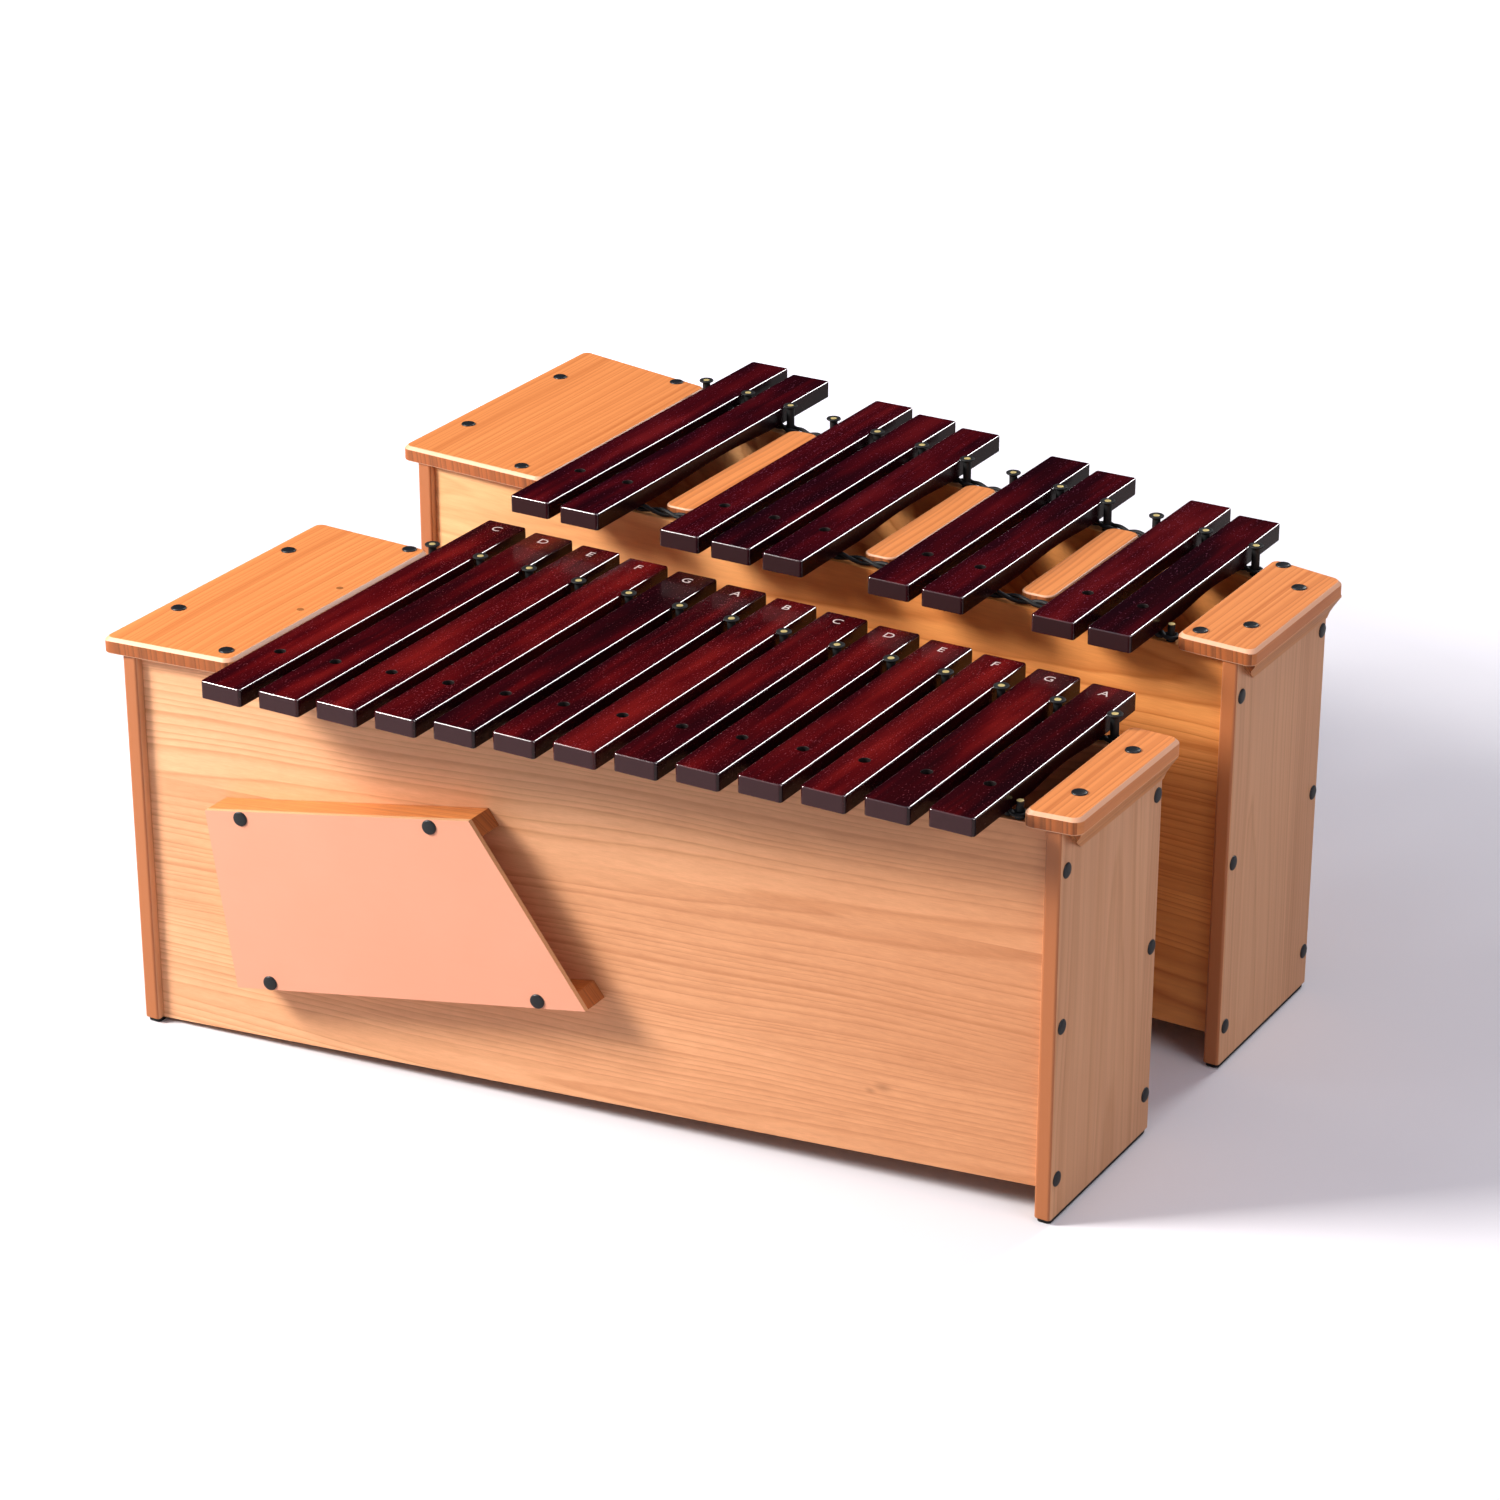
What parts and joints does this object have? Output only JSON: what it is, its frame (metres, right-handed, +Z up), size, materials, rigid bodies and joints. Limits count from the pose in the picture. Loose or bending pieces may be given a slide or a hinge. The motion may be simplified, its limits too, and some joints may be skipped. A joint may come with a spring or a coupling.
{
  "type": "bass xylophone pair",
  "caption": "Bass xylophone as two tapered pine resonator boxes: a diatonic row in front, a raised chromatic row behind, rosewood bars lifting off rubber cords and pins.",
  "frame": {"origin": "on the ground, under the middle of the pair's bounding box", "axes": "+X along the rows of bars towards the treble, +Y from the player to the back, +Z up"},
  "size_m": [0.9415, 0.8988, 0.4338],
  "materials": {
    "pine": "satin lacquer",
    "pine_edge": "satin lacquer",
    "duct_plywood": "satin lacquer",
    "rosewood": "gloss lacquer",
    "rubber": "matte",
    "cap_plastic": "satin",
    "brass": "polished",
    "lettering": "printed"
  },
  "bodies": {
    "diatonic_box": {"dia_left_end_panel": "pine", "dia_right_end_panel": "pine", "dia_left_foot_strip": "rubber", "dia_right_foot_strip": "rubber", "dia_front_panel": "pine", "dia_back_panel": "pine", "dia_floor_board": "pine_edge", "dia_cover_board": "pine", "dia_cap_board": "pine", "dia_grip_strip": "pine_edge", "dia_front_cord": "rubber", "dia_rear_cord": "rubber", "duct_cover": "duct_plywood", "duct_top_rail": "pine_edge", "duct_bottom_rail": "pine_edge", "duct_left_rail": "pine_edge", "duct_screw_cap_top_left": "cap_plastic", "duct_screw_cap_top_right": "cap_plastic", "duct_screw_cap_bottom_left": "cap_plastic", "duct_screw_cap_bottom_right": "cap_plastic"},
    "chromatic_box": {"chr_left_end_panel": "pine", "chr_right_end_panel": "pine", "chr_left_foot_strip": "rubber", "chr_right_foot_strip": "rubber", "chr_front_panel": "pine", "chr_back_panel": "pine", "chr_floor_board": "pine_edge", "chr_cover_board": "pine", "chr_cap_board": "pine", "chr_grip_strip": "pine_edge", "chr_front_cord": "rubber", "chr_rear_cord": "rubber", "chr_spacer_board_1": "pine", "chr_spacer_board_2": "pine", "chr_spacer_board_3": "pine"},
    "dia_bar_01_c": {"dia_bar_01_c": "rosewood"},
    "dia_bar_02_d": {"dia_bar_02_d": "rosewood"},
    "dia_bar_03_e": {"dia_bar_03_e": "rosewood"},
    "dia_bar_04_f": {"dia_bar_04_f": "rosewood"},
    "dia_bar_05_g": {"dia_bar_05_g": "rosewood"},
    "dia_bar_06_a": {"dia_bar_06_a": "rosewood"},
    "dia_bar_07_b": {"dia_bar_07_b": "rosewood"},
    "dia_bar_08_c": {"dia_bar_08_c": "rosewood"},
    "dia_bar_09_d": {"dia_bar_09_d": "rosewood"},
    "dia_bar_10_e": {"dia_bar_10_e": "rosewood"},
    "dia_bar_11_f": {"dia_bar_11_f": "rosewood"},
    "dia_bar_12_g": {"dia_bar_12_g": "rosewood"},
    "dia_bar_13_a": {"dia_bar_13_a": "rosewood"},
    "chr_bar_01_cs": {"chr_bar_01_cs": "rosewood"},
    "chr_bar_02_ds": {"chr_bar_02_ds": "rosewood"},
    "chr_bar_03_fs": {"chr_bar_03_fs": "rosewood"},
    "chr_bar_04_gs": {"chr_bar_04_gs": "rosewood"},
    "chr_bar_05_as": {"chr_bar_05_as": "rosewood"},
    "chr_bar_06_cs": {"chr_bar_06_cs": "rosewood"},
    "chr_bar_07_ds": {"chr_bar_07_ds": "rosewood"},
    "chr_bar_08_fs": {"chr_bar_08_fs": "rosewood"},
    "chr_bar_09_gs": {"chr_bar_09_gs": "rosewood"}
  },
  "joints": [
    {"name": "chromatic_box_pull", "type": "slide", "parent": "diatonic_box", "child": "chromatic_box", "axis": [0, 1, 0], "range_m": [0, 0.15]},
    {"name": "dia_lift_01_c", "type": "hinge", "parent": "diatonic_box", "child": "dia_bar_01_c", "pos_m": [-0.2935, -0.077, 0.3804], "axis": [-1, 0, 0], "range_deg": [0, 5]},
    {"name": "dia_lift_02_d", "type": "hinge", "parent": "diatonic_box", "child": "dia_bar_02_d", "pos_m": [-0.2375, -0.07957, 0.3804], "axis": [-1, 0, 0], "range_deg": [0, 5]},
    {"name": "dia_lift_03_e", "type": "hinge", "parent": "diatonic_box", "child": "dia_bar_03_e", "pos_m": [-0.1815, -0.08214, 0.3804], "axis": [-1, 0, 0], "range_deg": [0, 5]},
    {"name": "dia_lift_04_f", "type": "hinge", "parent": "diatonic_box", "child": "dia_bar_04_f", "pos_m": [-0.1255, -0.08471, 0.3804], "axis": [-1, 0, 0], "range_deg": [0, 5]},
    {"name": "dia_lift_05_g", "type": "hinge", "parent": "diatonic_box", "child": "dia_bar_05_g", "pos_m": [-0.0695, -0.08728, 0.3804], "axis": [-1, 0, 0], "range_deg": [0, 5]},
    {"name": "dia_lift_06_a", "type": "hinge", "parent": "diatonic_box", "child": "dia_bar_06_a", "pos_m": [-0.0135, -0.08985, 0.3804], "axis": [-1, 0, 0], "range_deg": [0, 5]},
    {"name": "dia_lift_07_b", "type": "hinge", "parent": "diatonic_box", "child": "dia_bar_07_b", "pos_m": [0.0425, -0.09242, 0.3804], "axis": [-1, 0, 0], "range_deg": [0, 5]},
    {"name": "dia_lift_08_c", "type": "hinge", "parent": "diatonic_box", "child": "dia_bar_08_c", "pos_m": [0.0985, -0.09499, 0.3804], "axis": [-1, 0, 0], "range_deg": [0, 5]},
    {"name": "dia_lift_09_d", "type": "hinge", "parent": "diatonic_box", "child": "dia_bar_09_d", "pos_m": [0.1545, -0.09756, 0.3804], "axis": [-1, 0, 0], "range_deg": [0, 5]},
    {"name": "dia_lift_10_e", "type": "hinge", "parent": "diatonic_box", "child": "dia_bar_10_e", "pos_m": [0.2105, -0.10013, 0.3804], "axis": [-1, 0, 0], "range_deg": [0, 5]},
    {"name": "dia_lift_11_f", "type": "hinge", "parent": "diatonic_box", "child": "dia_bar_11_f", "pos_m": [0.2665, -0.1027, 0.3804], "axis": [-1, 0, 0], "range_deg": [0, 5]},
    {"name": "dia_lift_12_g", "type": "hinge", "parent": "diatonic_box", "child": "dia_bar_12_g", "pos_m": [0.3225, -0.10527, 0.3804], "axis": [-1, 0, 0], "range_deg": [0, 5]},
    {"name": "dia_lift_13_a", "type": "hinge", "parent": "diatonic_box", "child": "dia_bar_13_a", "pos_m": [0.3785, -0.10784, 0.3804], "axis": [-1, 0, 0], "range_deg": [0, 5]},
    {"name": "chr_lift_01_cs", "type": "hinge", "parent": "chromatic_box", "child": "chr_bar_01_cs", "pos_m": [-0.2635, 0.37175, 0.4136], "axis": [-1, 0, 0], "range_deg": [0, 5]},
    {"name": "chr_lift_02_ds", "type": "hinge", "parent": "chromatic_box", "child": "chr_bar_02_ds", "pos_m": [-0.2075, 0.36016, 0.4136], "axis": [-1, 0, 0], "range_deg": [0, 5]},
    {"name": "chr_lift_03_fs", "type": "hinge", "parent": "chromatic_box", "child": "chr_bar_03_fs", "pos_m": [-0.0955, 0.33697, 0.4136], "axis": [-1, 0, 0], "range_deg": [0, 5]},
    {"name": "chr_lift_04_gs", "type": "hinge", "parent": "chromatic_box", "child": "chr_bar_04_gs", "pos_m": [-0.0395, 0.32538, 0.4136], "axis": [-1, 0, 0], "range_deg": [0, 5]},
    {"name": "chr_lift_05_as", "type": "hinge", "parent": "chromatic_box", "child": "chr_bar_05_as", "pos_m": [0.0165, 0.31379, 0.4136], "axis": [-1, 0, 0], "range_deg": [0, 5]},
    {"name": "chr_lift_06_cs", "type": "hinge", "parent": "chromatic_box", "child": "chr_bar_06_cs", "pos_m": [0.1285, 0.29061, 0.4136], "axis": [-1, 0, 0], "range_deg": [0, 5]},
    {"name": "chr_lift_07_ds", "type": "hinge", "parent": "chromatic_box", "child": "chr_bar_07_ds", "pos_m": [0.1845, 0.27901, 0.4136], "axis": [-1, 0, 0], "range_deg": [0, 5]},
    {"name": "chr_lift_08_fs", "type": "hinge", "parent": "chromatic_box", "child": "chr_bar_08_fs", "pos_m": [0.2965, 0.25583, 0.4136], "axis": [-1, 0, 0], "range_deg": [0, 5]},
    {"name": "chr_lift_09_gs", "type": "hinge", "parent": "chromatic_box", "child": "chr_bar_09_gs", "pos_m": [0.3525, 0.24424, 0.4136], "axis": [-1, 0, 0], "range_deg": [0, 5]}
  ]
}
